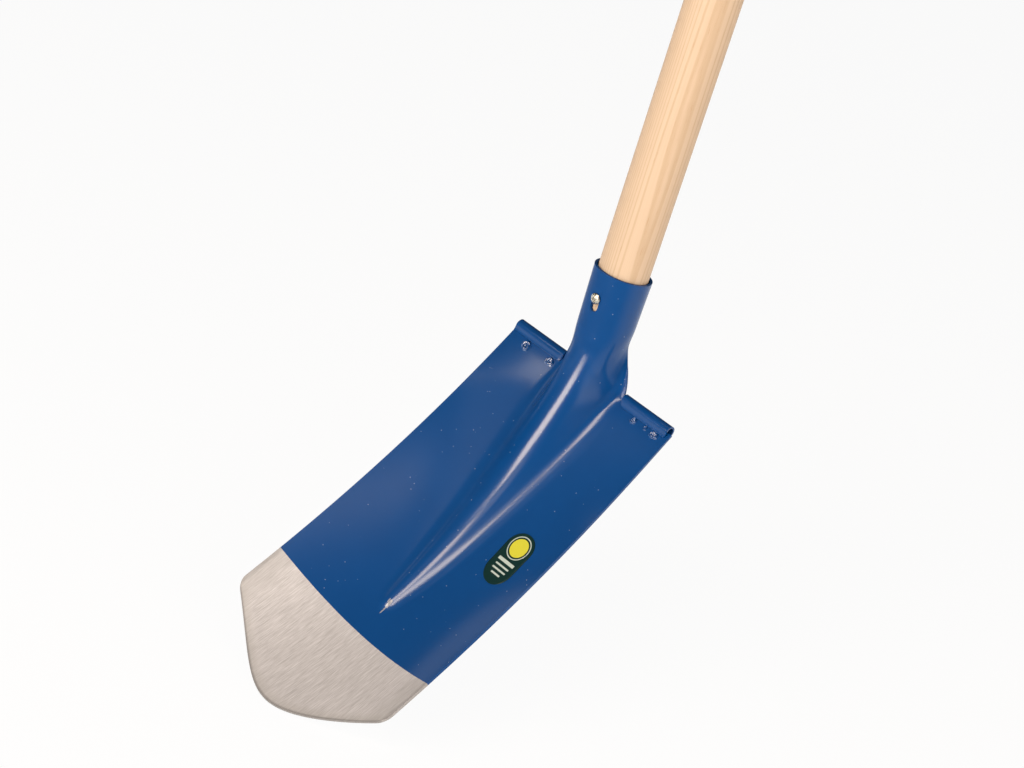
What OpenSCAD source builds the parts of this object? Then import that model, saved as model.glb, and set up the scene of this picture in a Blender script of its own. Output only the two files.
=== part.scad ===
// Trenching spade: a one-piece pressed steel head on a straight ash handle.
// The origin lies on the handle's axis, at the foot of the straight shaft.
// +Z runs up the handle, X runs across the blade and the dished front faces -Y.

/* [Blade] */
// Length from the shoulders to the point, along the flat of the shoulders
blade_l = 340; // [320:1:360]
// Width at the shoulders
blade_top_w = 170; // [160:1:190]
// Width at the corners of the cutting edge
blade_tip_w = 176; // [160:1:190]
// Thickness of the steel sheet
sheet_t = 2; // [1.5:0.1:2.2]
// Distance from the corners of the cutting edge to the point
tip_drop = 47; // [30:1:60]
// Half width over which the point is rounded
tip_round = 44; // [30:1:70]
// Radius of the corners of the cutting edge
corner_r = 6; // [3:0.5:10]
// Height of the flat strip that carries the treads
flat_l = 12; // [10:1:16]
// Radius of the lengthwise bow below the flat strip
bow_r = 1070; // [900:10:2000]
// Depth of the dish below the side edges
dish_d = 22; // [12:1:26]
// Distance from the shoulders to the deepest place of the dish
dish_l = 232; // [215:1:260]

/* [Ridge] */
// Height of the ridge at the shoulders
ridge_h = 36.5; // [35:0.5:39]
// Width of the ridge at the shoulders, over both fillets
ridge_w = 66; // [60:0.5:66]
// Width of the ridge where it runs out
ridge_end_w = 13; // [8:1:16]
// Length of the ridge from the shoulders
ridge_l = 236; // [215:1:255]

/* [Socket] */
// Angle between the handle and the flat strip at the shoulders
lift = 43; // [40:1:46]
// Distance along the handle from the socket's mouth to the line of the shoulders
socket_l = 91; // [86:1:96]
// Distance by which the handle's axis passes in front of the shoulders
axis_lead = 6; // [4:0.5:8]
// Outside diameter at the mouth
mouth_d = 45.6; // [45:0.2:47]
// Outside diameter where the neck begins
neck_d = 43.9; // [43:0.1:45]
// Length of the straight stretch below the mouth
straight_l = 43; // [40:1:46]
// Width of the open seam at the back
seam_w = 3; // [1:0.5:6]
// Depth below the mouth of the screw and of the slot's upper end
screw_depth = 23.6; // [20:0.2:25]
// Length of the screw slot between the centres of its ends
slot_l = 8; // [4:0.5:10]

/* [Treads] */
// Distance from the middle of the blade to the inner end of a tread
tread_start = 34; // [33:0.5:38]
// Thickness of the folded strip
strip_t = 1.4; // [1:0.1:1.8]
// Outside radius of the rolled top
roll_r = 5; // [4:0.1:6]
// Height of the centre of the rolled top above the shoulders
roll_rise = 1; // [0:0.1:2]
// Length of the legs below the shoulders
leg_l = 5.5; // [4.5:0.1:6]
// Length over which the legs lie flat on the sheet
land_l = 2.5; // [1.5:0.1:3]
// Radius of the strip's lower inner corner
strip_corner_r = 4.6; // [2:0.1:5]

/* [Welds] */
// Radius of a large weld bead on the sheet
bead_r = 3.8; // [3:0.1:4]
// Height of a large weld bead
bead_h = 1.9; // [1:0.1:2.5]
// Radius of the small weld bead
small_bead_r = 2; // [1.5:0.1:2.5]
// Height of the small weld bead
small_bead_h = 1; // [0.6:0.1:1.2]

/* [Handle] */
// Diameter of the straight shaft
shaft_d = 39.5; // [38.5:0.1:41]
// Length of the straight shaft above the origin
shaft_l = 1100; // [700:10:1400]
// Radius of the rounded butt
butt_r = 9; // [4:0.5:16]
// Length between the straight shaft and the socket's mouth
collar_l = 20; // [10:1:30]
// Distance that the handle reaches into the socket
seat_l = 78; // [60:1:80]
// Diameter of the handle's end in the socket
foot_d = 24; // [18:1:26]
// Size of the bevel round the handle's end
foot_bevel = 2; // [1:0.5:4]

/* [Screw] */
// Diameter of the shank
screw_d = 4; // [3.5:0.1:4.5]
// Length of the shank
screw_l = 25; // [15:1:30]
// Diameter of the domed head
head_d = 8.4; // [7.5:0.1:9]
// Height of the head's straight rim
head_rim_h = 0.9; // [0.6:0.1:1.2]
// Height of the head's dome above its rim
head_dome_h = 1.5; // [1:0.1:1.8]
// Width of the bars of the cross recess
cross_w = 1.1; // [0.8:0.1:1.4]
// Length of the bars of the cross recess
cross_l = 4.4; // [3:0.1:5]
// Depth of the cross recess below the top of the dome
cross_depth = 1.3; // [0.8:0.1:1.6]

/* [Label] */
// Width of the foil label
label_w = 27; // [15:1:28]
// Length of the foil label
label_l = 47; // [40:1:60]
// Distance from the middle of the blade to the label's centre
label_x = 52; // [48:1:56]
// Distance from the shoulders to the label's centre
label_v = 147; // [120:1:180]
// Thickness of the foil
label_t = 0.2; // [0.1:0.05:0.3]

/* [Hidden] */
$fn = 64;

// Clearances between pieces, and the overrun of every cut
lap_gap = 0.05;
seat_gap = 0.3;
mouth_gap = 1.1;
pilot_gap = 0.1;
slot_gap = 0.6;
label_gap = 0.25;
overrun = 1;

// Steps across half of the head: slot, crest, fillet, wing and corner
slot_n = 2;
crest_n = 9;
fillet_n = 4;
wing_n = 7;
corner_n = 3;
neck_n = crest_n + fillet_n;
edge_n = neck_n + wing_n + corner_n;

// Steps down the head: bend of the neck and blade
bend_n = 9;
blade_n = 24;

// Steps of the label across and along
label_across_n = 5;
label_along_n = 12;

// Form of the dish, of the ridge's fall and taper, and of the flare of the neck
dish_power = 1.5;
long_fall_share = 0.26;
long_fall_power = 0.4;
short_fall_power = 5.05;
least_rise_share = 0.0005;
taper_power = 0.57;
crest_top_share = 0.55;
crest_end_share = 0.31;
wing_power = 1.2;
flare_power = 0.83;
neck_lead_share = 0.54;

// Places of the weld beads along the treads, counted from their inner ends
left_bead_shares = [0.1, 0.62];
right_bead_shares = [0.36, 0.78];
small_bead_share = 0.6;

mouth_z = -collar_l;
mouth_r = mouth_d / 2;
neck_r = neck_d / 2;
shoulder_y = axis_lead * cos(lift);
shoulder_z = mouth_z - socket_l - axis_lead * sin(lift);
tip_half = blade_tip_w / 2;
tread_l = blade_top_w / 2 - tread_start;
tube_angle = 180 - asin(seam_w / neck_d);
slot_w = screw_d + 2 * slot_gap;
slot_share = asin(slot_w / neck_d) / tube_angle;
corner_share = corner_r / (tip_half - ridge_end_w / 2);

// Depths of the socket's rows below its mouth, and the way that the slot's ends bulge
socket_depths = [0, screw_depth - slot_w, screw_depth, screw_depth + slot_l, screw_depth + slot_l + slot_w];
socket_bulges = [0, 0, -1, 1, 0];
slot_row = 2;
socket_n = len(socket_depths);
shoulder_row = socket_n + bend_n;
last_row = shoulder_row + blade_n;

function smooth(t) = t * t * (3 - 2 * t);
function limit(t, low, high) = min(max(t, low), high);

// Outside radius of the straight socket at a depth below its mouth
function tube_r(depth) = mouth_r + (neck_r - mouth_r) * depth / straight_l;

// Share of the way round the tube of column k
function tube_share(k) =
    k <= slot_n ? slot_share * k / slot_n
                : slot_share + (1 - slot_share) * (k - slot_n) / (neck_n - slot_n);

// The blade's surface without its ridge, v below the shoulders and x off the middle
function half_w(v) = (blade_top_w + (blade_tip_w - blade_top_w) * v / blade_l) / 2;
function below_flat(v) = max(0, v - flat_l);
function bow(v) = pow(below_flat(v), 2) / (2 * bow_r);
function dish(v) = dish_d * pow(max(0, sin(90 * below_flat(v) / (dish_l - flat_l))), dish_power);
function blade_n_at(x, v) = bow(v) - dish(v) * (1 - pow(x / half_w(v), 2));
function blade_point(x, v, n) =
    [x, shoulder_y - v * sin(lift) - n * cos(lift), shoulder_z - v * cos(lift) + n * sin(lift)];

// The ridge: half width, height and slope of its flanks
function along_ridge(v) = limit(v / ridge_l, 0, 1);
function taper(v) = pow(cos(90 * along_ridge(v)), taper_power);
function ridge_half(v) = (ridge_end_w + (ridge_w - ridge_end_w) * taper(v)) / 2;
function fall(rest) =
    long_fall_share * pow(rest, long_fall_power) + (1 - long_fall_share) * pow(rest, short_fall_power);
function ridge_rise(v) = ridge_h * max(fall(1 - along_ridge(v)), least_rise_share);
function flank(v) = 2 * atan2(ridge_rise(v), ridge_half(v));
function crest_share(v) = crest_top_share + (crest_end_share - crest_top_share) * along_ridge(v);

// Share of the wing's width at step i
function wing_share(i) =
    i <= wing_n ? (1 - corner_share) * pow(i / wing_n, wing_power)
                : 1 - corner_share * (1 - sin(90 * (i - wing_n) / corner_n));

// Half section across the blade: a crest arc, a fillet arc and the flat wing
function section(v, k) =
    let (half = ridge_half(v), slope = flank(v), arcs = half / sin(slope))
    let (crest = arcs * crest_share(v), fillet = arcs - crest)
    k <= crest_n ? let (a = slope * tube_share(k) / tube_share(crest_n))
                   [crest * sin(a), ridge_rise(v) - crest * (1 - cos(a))]
    : k <= neck_n ? let (a = slope * (1 - (k - crest_n) / fillet_n))
                    [half - fillet * sin(a), fillet * (1 - cos(a))]
    : [half + (half_w(v) - half) * wing_share(k - neck_n), 0];

// Distance from the shoulders to the cutting edge: a rounded point with rounded corners
function round_fall(x) = sqrt(x * x + tip_round * tip_round) - tip_round;
function corner_fall(x) =
    let (past = limit(x - tip_half + corner_r, 0, corner_r))
    corner_r - sqrt(corner_r * corner_r - past * past);
function tip_v(x) = blade_l - tip_drop * round_fall(x) / round_fall(tip_half) - corner_fall(x);

// Points of the front surface: straight socket, bent neck and blade
function tube_point(i, k) =
    let (depth = socket_depths[i], r = tube_r(depth), a = tube_angle * tube_share(abs(k)))
    let (x = r * sin(a), end = abs(k) < slot_n ? sqrt(pow(slot_w / 2, 2) - x * x) : 0)
    [sign(k) * x, -r * cos(a), mouth_z - depth - socket_bulges[i] * end];

crest_centre = ridge_h - neck_r;
neck_top = [0, mouth_z - straight_l];
neck_foot = [crest_centre * cos(lift) - shoulder_y, shoulder_z + crest_centre * sin(lift)];
neck_pull = neck_top - [0, neck_lead_share * norm(neck_foot - neck_top)];

function neck_centre(t) =
    (1 - t) * (1 - t) * neck_top + 2 * t * (1 - t) * neck_pull + t * t * neck_foot;
function neck_point(t, k) =
    let (c = neck_centre(t), e = pow(smooth(t), flare_power), turn = lift * smooth(t))
    let (a = tube_angle * tube_share(abs(k)), s = section(0, abs(k)))
    let (x = (1 - e) * neck_r * sin(a) + e * s[0])
    let (m = (1 - e) * neck_r * cos(a) + e * (s[1] - crest_centre))
    [sign(k) * x, -c[0] - m * cos(turn), c[1] + m * sin(turn)];

function wing_point(t, k) =
    let (v = t * tip_v(section(blade_l, abs(k))[0]), s = section(v, abs(k)))
    blade_point(sign(k) * s[0], v, blade_n_at(s[0], v) + s[1]);

function head_point(i, k) =
    i < socket_n ? tube_point(i, limit(k, -neck_n, neck_n))
    : i < shoulder_row ? neck_point((i - socket_n) / bend_n, limit(k, -neck_n, neck_n))
    : wing_point((i - shoulder_row) / blade_n, k);

// Outward direction of the front surface at row i, column k
function reach(i) = i < shoulder_row ? neck_n : edge_n;
function unit(a) = a / norm(a);
function head_normal(front, i, k) =
    let (r = reach(i), kept = limit(k, -r, r), top = i == 0 || (i == shoulder_row && abs(k) > neck_n))
    let (across = front[i][min(kept + 1, r) + edge_n] - front[i][max(kept - 1, -r) + edge_n])
    let (down = front[min(i + 1, last_row)][kept + edge_n] - front[top ? i : i - 1][kept + edge_n])
    unit(cross(down, across));

// Cells of sheet: all of the blade, and the tube above it except its slot
function in_slot(i, k) = i == slot_row && k >= -slot_n && k < slot_n;
function is_sheet(i, k) =
    i >= 0 && i < last_row && k >= -reach(i) && k < reach(i) && !in_slot(i, k);

// Two triangles for the four corners of a cell or a wall, split the same way on both halves
function two(a, b, c, d, right) = right ? [[a, b, c], [a, c, d]] : [[a, b, d], [b, c, d]];

module sheet_solid() {
    columns = 2 * edge_n + 1;
    front = [for (i = [0:last_row]) [for (k = [-edge_n:edge_n]) head_point(i, k)]];
    back = [for (i = [0:last_row]) [for (k = [-edge_n:edge_n])
            front[i][k + edge_n] - sheet_t * head_normal(front, i, k)]];
    size = columns * (last_row + 1);
    f = function(i, k) i * columns + k + edge_n;
    b = function(i, k) size + f(i, k);
    faces = [for (i = [0:last_row - 1]) for (k = [-edge_n:edge_n - 1]) if (is_sheet(i, k))
        each concat(
            two(f(i, k), f(i, k + 1), f(i + 1, k + 1), f(i + 1, k), k >= 0),
            two(b(i, k + 1), b(i, k), b(i + 1, k), b(i + 1, k + 1), k < 0),
            is_sheet(i - 1, k) ? [] : two(f(i, k + 1), f(i, k), b(i, k), b(i, k + 1), true),
            is_sheet(i, k + 1) ? [] : two(f(i + 1, k + 1), f(i, k + 1), b(i, k + 1), b(i + 1, k + 1), true),
            is_sheet(i + 1, k) ? [] : two(f(i + 1, k), f(i + 1, k + 1), b(i + 1, k + 1), b(i + 1, k), true),
            is_sheet(i, k - 1) ? [] : two(f(i, k), f(i + 1, k), b(i + 1, k), b(i, k), true))];
    polyhedron(points = [each each front, each each back], faces = faces);
}

// Puts children on the flat strip: X across, Y up towards the shoulders and Z out of the front
module on_shoulders() {
    translate([0, shoulder_y, shoulder_z]) rotate([90 - lift, 0, 0]) children();
}

// Point where a line from q touches a circle of radius r about c, on the side of turn
function touch(c, r, q, turn) =
    let (d = q - c, a = atan2(d[1], d[0]) + turn * acos(r / norm(d)))
    c + r * [cos(a), sin(a)];

// Drop shape: a circle with two straight sides that run down to two foot points
module drop(c, r, front_foot, back_foot) {
    translate(c) circle(r);
    polygon([c, touch(c, r, front_foot, -1), front_foot, back_foot, touch(c, r, back_foot, 1)]);
}

// Section of a tread, up the blade along x and out of the front along y
module tread_section() {
    roll_c = [roll_rise, -sheet_t / 2];
    lap = sheet_t / 2 + lap_gap;
    middle = [0, -sheet_t / 2];
    difference() {
        drop(roll_c, roll_r, [-leg_l, lap + strip_t] + middle, [-leg_l, -lap - strip_t] + middle);
        drop(roll_c, roll_r - strip_t, [land_l - leg_l, lap] + middle, [land_l - leg_l, -lap] + middle);
        translate(middle - [leg_l + overrun, lap]) square([leg_l + overrun, 2 * lap]);
    }
}

// Outline of a tread from the front, with its lower inner corner rounded
module tread_outline() {
    corner = [tread_start + strip_corner_r, strip_corner_r - leg_l];
    above = roll_rise + roll_r + overrun;
    translate(corner) circle(strip_corner_r);
    translate([tread_start, corner[1]]) square([tread_l + overrun, above - corner[1]]);
    translate([corner[0], -leg_l - overrun]) square([tread_l, leg_l + above]);
}

module tread() {
    depth = roll_r + sheet_t + overrun;
    on_shoulders() intersection() {
        translate([tread_start - overrun, 0, 0]) rotate([90, 0, 90])
            linear_extrude(tread_l + overrun) tread_section();
        translate([0, 0, -depth]) linear_extrude(2 * depth) tread_outline();
    }
}

// Weld bead: a round cap that stands on the sheet just below a tread's leg
module bead(share, r, h) {
    ball_r = (r * r + h * h) / (2 * h);
    translate([tread_start + tread_l * share, -leg_l - lap_gap - r, lap_gap]) intersection() {
        translate([0, 0, h - ball_r]) sphere(ball_r);
        cylinder(h = h + overrun, r = r + overrun);
    }
}

module blade() {
    color("#14508c") sheet_solid();
}

module left_tread() {
    color("#184f86") mirror([1, 0, 0]) tread();
}

module right_tread() {
    color("#184f86") tread();
}

module left_tread_welds() {
    color("#2a5f94") mirror([1, 0, 0]) on_shoulders()
        for (share = left_bead_shares) bead(share, bead_r, bead_h);
}

module right_tread_welds() {
    color("#2a5f94") on_shoulders() {
        for (share = right_bead_shares) bead(share, bead_r, bead_h);
        bead(small_bead_share, small_bead_r, small_bead_h);
    }
}

// Half outline of the handle, from its foot in the socket to the rounded butt
module handle_outline() {
    shaft_r = shaft_d / 2;
    foot_r = foot_d / 2;
    foot_z = mouth_z - seat_l;
    seat_r = neck_r - sheet_t - seat_gap;
    mouth_seat_r = mouth_r - sheet_t - mouth_gap;
    polygon([
        [0, foot_z],
        [foot_r - foot_bevel, foot_z],
        [foot_r, foot_z + foot_bevel],
        [seat_r, mouth_z - straight_l],
        [mouth_seat_r, mouth_z],
        [shaft_r, 0],
        [shaft_r, shaft_l - butt_r],
        [shaft_r - butt_r, shaft_l - butt_r],
        [shaft_r - butt_r, shaft_l],
        [0, shaft_l]
    ]);
    translate([shaft_r - butt_r, shaft_l - butt_r]) intersection() {
        circle(butt_r);
        square(butt_r);
    }
}

// Puts children on the screw's axis: Z points out of the socket's front
module on_screw() {
    translate([0, 0, mouth_z - screw_depth]) rotate([90, 0, 0]) children();
}

module handle() {
    pilot_l = screw_l + pilot_gap;
    color("#ecc89b") difference() {
        rotate_extrude() handle_outline();
        on_screw() translate([0, 0, tube_r(screw_depth) - pilot_l])
            cylinder(h = pilot_l, d = screw_d + 2 * pilot_gap);
    }
}

module handle_screw() {
    head_r = head_d / 2;
    seat = tube_r(screw_depth - head_r);
    dome_r = (head_r * head_r + head_dome_h * head_dome_h) / (2 * head_dome_h);
    head_h = head_rim_h + head_dome_h;
    color("#c9c6bd") on_screw() translate([0, 0, seat + lap_gap]) difference() {
        union() {
            translate([0, 0, -screw_l]) cylinder(h = screw_l, d = screw_d);
            intersection() {
                cylinder(h = head_h, r = head_r);
                translate([0, 0, head_h - dome_r]) sphere(dome_r);
            }
        }
        for (turn = [0, 90]) rotate(turn)
            translate([-cross_l / 2, -cross_w / 2, head_h - cross_depth])
                cube([cross_l, cross_w, cross_depth + overrun]);
    }
}

// Point of the foil on the dished blade: share across and along, lifted off the sheet
function label_y(t) = -cos(180 * t) * label_l / 2;
function label_half(y) =
    let (r = label_w / 2, past = max(0, abs(y) - label_l / 2 + r)) sqrt(r * r - past * past);
function label_point(i, j, raise) =
    let (y = label_y((i + 0.5) / (label_along_n + 1)))
    let (x = label_x + label_half(y) * (2 * j / label_across_n - 1), v = label_v + y)
    blade_point(x, v, blade_n_at(x, v) + raise);

module label() {
    columns = label_across_n + 1;
    size = columns * (label_along_n + 1);
    top = [for (i = [0:label_along_n]) for (j = [0:label_across_n]) label_point(i, j, label_gap + label_t)];
    under = [for (i = [0:label_along_n]) for (j = [0:label_across_n]) label_point(i, j, label_gap)];
    f = function(i, j) i * columns + j;
    b = function(i, j) size + f(i, j);
    faces = [for (i = [0:label_along_n - 1]) for (j = [0:label_across_n - 1])
        each concat(
            two(f(i, j), f(i, j + 1), f(i + 1, j + 1), f(i + 1, j), true),
            two(b(i, j + 1), b(i, j), b(i + 1, j), b(i + 1, j + 1), false),
            i > 0 ? [] : two(f(i, j + 1), f(i, j), b(i, j), b(i, j + 1), true),
            j < label_across_n - 1 ? []
                : two(f(i + 1, j + 1), f(i, j + 1), b(i, j + 1), b(i + 1, j + 1), true),
            i < label_along_n - 1 ? []
                : two(f(i + 1, j), f(i + 1, j + 1), b(i + 1, j + 1), b(i + 1, j), true),
            j > 0 ? [] : two(f(i, j), f(i + 1, j), b(i + 1, j), b(i, j), true))];
    color("#12392f") polyhedron(points = concat(top, under), faces = faces);
}

blade();
left_tread();
right_tread();
left_tread_welds();
right_tread_welds();
handle();
handle_screw();
label();
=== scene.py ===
# %% [markdown]
# # A trenching spade, dressed in Blender
# The spade is a blade pressed from one steel sheet, whose neck is rolled into a socket for a straight
# ash handle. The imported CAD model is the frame: it fixes every size and place. Each piece below is a
# finer surface in the same place, worked out with numpy, and gets the finish that the real piece has.

import bpy
import numpy as np
from mathutils import Matrix, Vector


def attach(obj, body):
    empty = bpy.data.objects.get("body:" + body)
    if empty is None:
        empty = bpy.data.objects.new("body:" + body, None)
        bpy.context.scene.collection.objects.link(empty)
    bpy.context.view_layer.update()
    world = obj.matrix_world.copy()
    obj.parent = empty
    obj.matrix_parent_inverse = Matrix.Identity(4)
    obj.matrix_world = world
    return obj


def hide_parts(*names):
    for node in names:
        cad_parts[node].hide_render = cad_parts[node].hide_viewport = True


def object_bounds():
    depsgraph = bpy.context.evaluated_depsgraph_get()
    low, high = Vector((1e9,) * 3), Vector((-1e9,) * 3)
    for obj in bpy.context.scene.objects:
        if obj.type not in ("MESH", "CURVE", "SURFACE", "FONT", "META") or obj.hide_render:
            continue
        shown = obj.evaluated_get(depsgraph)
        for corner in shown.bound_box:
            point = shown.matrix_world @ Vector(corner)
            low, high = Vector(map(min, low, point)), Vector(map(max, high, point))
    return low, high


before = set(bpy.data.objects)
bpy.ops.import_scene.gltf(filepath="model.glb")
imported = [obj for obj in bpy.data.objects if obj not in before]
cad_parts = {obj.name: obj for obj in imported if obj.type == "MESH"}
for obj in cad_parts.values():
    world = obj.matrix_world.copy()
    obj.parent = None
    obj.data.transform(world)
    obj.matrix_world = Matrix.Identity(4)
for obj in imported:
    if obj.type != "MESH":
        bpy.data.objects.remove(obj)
cad_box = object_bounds()
MM = 0.001
print("CAD nodes:", ", ".join(sorted(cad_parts)))

# %% [markdown]
# ## Camera
# A product photograph is taken with a long lens from a little above. The camera is turned about three
# axes: round the object, up, and about its own line of sight, which makes the handle lean in the
# picture. Turning a matrix three times keeps those angles readable, which a tracking constraint
# would hide.

# %% Camera
CAMERA_PLACE = Vector((0.7279, -0.9991, 0.4876))
AROUND, ABOVE, LEAN = 38.605, 26.886, 17.172


def turned(*turns):
    """Product of turns about named axes, in degrees, the first one outermost."""
    matrix = Matrix.Identity(4)
    for degrees, axis in turns:
        matrix = matrix @ Matrix.Rotation(np.radians(degrees), 4, axis)
    return matrix


camera_data = bpy.data.cameras.new("camera")
camera_data.sensor_width = 36.0
camera_data.lens = 63.28
camera = bpy.data.objects.new("camera", camera_data)
bpy.context.collection.objects.link(camera)
aim = turned((AROUND, "Z"), (90 - ABOVE, "X"), (LEAN, "Z"))
camera.matrix_world = Matrix.Translation(CAMERA_PLACE) @ aim
bpy.context.scene.camera = camera
bpy.context.scene.view_settings.view_transform = "Standard"
print("camera", round(CAMERA_PLACE.length, 3), "m from the origin, lens", camera_data.lens, "mm")

# %% [markdown]
# ## From arrays to meshes
# A grid of points becomes a mesh by joining neighbours with four-sided faces. Blender could add the
# vertices one by one, but whole index arrays are shorter and much faster. The faces run anticlockwise
# as seen from outside, so every normal points outwards.

# %% Mesh helpers
def grid_faces(rows, columns, wrap=False):
    """Faces of a grid of rows by columns points; with wrap, the last column joins the first."""
    i, k = np.mgrid[:rows - 1, :columns if wrap else columns - 1]
    right = (k + 1) % columns
    corners = [i * columns + k, (i + 1) * columns + k, (i + 1) * columns + right, i * columns + right]
    return np.stack(corners, -1).reshape(-1, 4)


def round_edges(piece, width):
    """Bevel modifier on the piece's sharp edges."""
    bevel = piece.modifiers.new("rounded edges", "BEVEL")
    bevel.width = width
    bevel.segments = 3
    bevel.limit_method = "ANGLE"
    bevel.angle_limit = np.radians(50)
    bevel.harden_normals = True


def add_piece(name, points, faces, node, finish, uv=None, bevel=0.0):
    """Object from an array of points and of faces, smooth, riding on the root in a node's place."""
    used, faces = np.unique(faces, return_inverse=True)
    faces = faces.reshape(-1, 4)
    mesh = bpy.data.meshes.new(name)
    mesh.from_pydata(points.reshape(-1, 3)[used], [], faces)
    mesh.polygons.foreach_set("use_smooth", np.ones(len(faces), bool))
    if uv is not None:
        layer = mesh.uv_layers.new(name="sheet")
        layer.data.foreach_set("uv", uv.reshape(-1, 2)[used][faces].ravel())
    mesh.materials.append(finish)
    mesh.update()
    mesh.validate()
    piece = bpy.data.objects.new(name, mesh)
    bpy.context.collection.objects.link(piece)
    if bevel:
        round_edges(piece, bevel)
    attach(piece, "root")
    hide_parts(node)
    print(f"{name}: {len(used)} points, {len(faces)} faces")


print("mesh helpers ready: a grid of 3 by 3 points has", len(grid_faces(3, 3)), "faces")

# %% [markdown]
# ## Shader arithmetic
# A finish is a set of masks and waves added, multiplied and mixed. Written as nodes one by one that is
# hard to read, so a small class wraps a socket and turns Python's operators into Math nodes. A second
# class holds the material, and one of its methods adds any other node.

# %% Waves
class Wave:
    """An output socket. Arithmetic on it adds Math nodes to the finish that it belongs to."""

    def __init__(self, finish, socket):
        self.finish, self.socket = finish, socket

    def math(self, operation, *values):
        """A Math node on values, which are waves or numbers."""
        return self.finish.add("ShaderNodeMath", {"operation": operation}, dict(enumerate(values)))

    def __add__(self, other):
        return self.math("ADD", self, other)

    def __radd__(self, other):
        return self.math("ADD", other, self)

    def __sub__(self, other):
        return self.math("SUBTRACT", self, other)

    def __rsub__(self, other):
        return self.math("SUBTRACT", other, self)

    def __mul__(self, other):
        return self.math("MULTIPLY", self, other)

    def __rmul__(self, other):
        return self.math("MULTIPLY", other, self)

    def __truediv__(self, other):
        return self.math("DIVIDE", self, other)

    def __pow__(self, other):
        return self.math("POWER", self, other)

    def __abs__(self):
        return self.math("ABSOLUTE", self)

    def larger(self, other):
        return self.math("MAXIMUM", self, other)

    def smaller(self, other):
        return self.math("MINIMUM", self, other)

    def root(self):
        return self.math("SQRT", self)

    def sine(self):
        return self.math("SINE", self)

    def rise(self, low, high):
        """0 below low, 1 above high, with a smooth step between; low may be the larger."""
        return self.finish.add("ShaderNodeMapRange", {"interpolation_type": "SMOOTHSTEP"},
                               {"Value": self, "From Min": low, "From Max": high})


print("wave arithmetic ready")

# %% Finishes
def live(sockets, key):
    """The socket in use that has that number or name."""
    used = [socket for socket in sockets if socket.enabled]
    return used[key] if isinstance(key, int) else next(s for s in used if s.name == key)


class Finish:
    """A material with one Principled shader, to which nodes are added as they are needed."""

    def __init__(self, name, **constants):
        self.material = bpy.data.materials.new(name)
        self.material.use_nodes = True
        self.tree = self.material.node_tree
        self.shader = self.tree.nodes["Principled BSDF"]
        self.set(**constants)

    def set(self, **values):
        """Feeds sockets of the shader, named in small letters, and gives back the material."""
        for key, value in values.items():
            self.feed(self.shader, key.replace("_", " ").title().replace("Ior", "IOR"), value)
        return self.material

    def feed(self, node, key, value):
        """Links a wave to an input socket, or writes a plain value into it."""
        target = live(node.inputs, key)
        if isinstance(value, Wave):
            self.tree.links.new(value.socket, target)
        else:
            target.default_value = value

    def add(self, kind, settings, inputs, output=0):
        """Any node: its type, its settings, its inputs by name or number, and the output wanted."""
        node = self.tree.nodes.new(kind)
        for key, value in settings.items():
            setattr(node, key, value)
        for key, value in inputs.items():
            self.feed(node, key, value)
        return Wave(self, live(node.outputs, output))

    def place(self, scale=(1, 1, 1), turn=(0, 0, 0), source="Object"):
        """Coordinates on the piece, in metres, turned and then scaled."""
        raw = self.add("ShaderNodeTexCoord", {}, {}, source)
        return self.add("ShaderNodeMapping", {"vector_type": "POINT"},
                        {"Vector": raw, "Rotation": turn, "Scale": scale})

    def parts(self, source):
        """The three coordinates on the piece, as waves of their own."""
        raw = self.add("ShaderNodeTexCoord", {}, {}, source)
        return [self.add("ShaderNodeSeparateXYZ", {}, {"Vector": raw}, axis) for axis in "XYZ"]

    def noise(self, where, scale=1.0, detail=2.0, roughness=0.5):
        """Smooth noise from 0 to 1; the scale counts its waves in a metre."""
        return self.add("ShaderNodeTexNoise", {},
                        {"Vector": where, "Scale": scale, "Detail": detail, "Roughness": roughness})

    def mix(self, share, first, second):
        """Colour between two colours."""
        return self.add("ShaderNodeMix", {"data_type": "RGBA"}, {"Factor": share, "A": first, "B": second})

    def bump(self, height):
        """Relief whose height is in metres."""
        relief = self.add("ShaderNodeBump", {}, {"Height": height, "Distance": 1.0, "Strength": 1.0})
        self.feed(self.shader, "Normal", relief)


print("shader helpers ready")

# %% [markdown]
# ## The blade's form
# The head is one sheet. Its rows run from the socket's mouth down the neck to the cutting edge, and its
# columns run across it. The blade itself is dished: it curves up lengthwise and sinks in the middle, and
# its cutting edge is a rounded point. A subdivided cage could come near this, but formulas keep the
# CAD's sizes.

# %% Blade surface
BLADE_L, TOP_W, TIP_W, SHEET_T = 340 * MM, 170 * MM, 176 * MM, 2 * MM
TIP_DROP, TIP_ROUND, CORNER_R = 47 * MM, 36 * MM, 6 * MM
TIP_FALL = np.hypot(TIP_W / 2, TIP_ROUND) - TIP_ROUND
FLAT_L, BOW_R, DISH_D, DISH_L = 12 * MM, 1070 * MM, 22 * MM, 232 * MM
LIFT, SOCKET_L, AXIS_LEAD, MOUTH_Z = np.radians(43), 91 * MM, 6 * MM, -20 * MM
SHOULDER_Y = AXIS_LEAD * np.cos(LIFT)
SHOULDER_Z = MOUTH_Z - SOCKET_L - AXIS_LEAD * np.sin(LIFT)


def half_width(v):
    """Half the blade's width, growing evenly from the shoulders at v = 0."""
    return (TOP_W + (TIP_W - TOP_W) * v / BLADE_L) / 2


def dished(x, v):
    """Height of the blade without its ridge: a parabola lengthwise less a dish that fades at the edges."""
    below = np.maximum(v - FLAT_L, 0)
    dish = DISH_D * np.maximum(np.sin(np.pi / 2 * below / (DISH_L - FLAT_L)), 0) ** 1.5
    return below ** 2 / (2 * BOW_R) - dish * (1 - (x / half_width(v)) ** 2)


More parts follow.
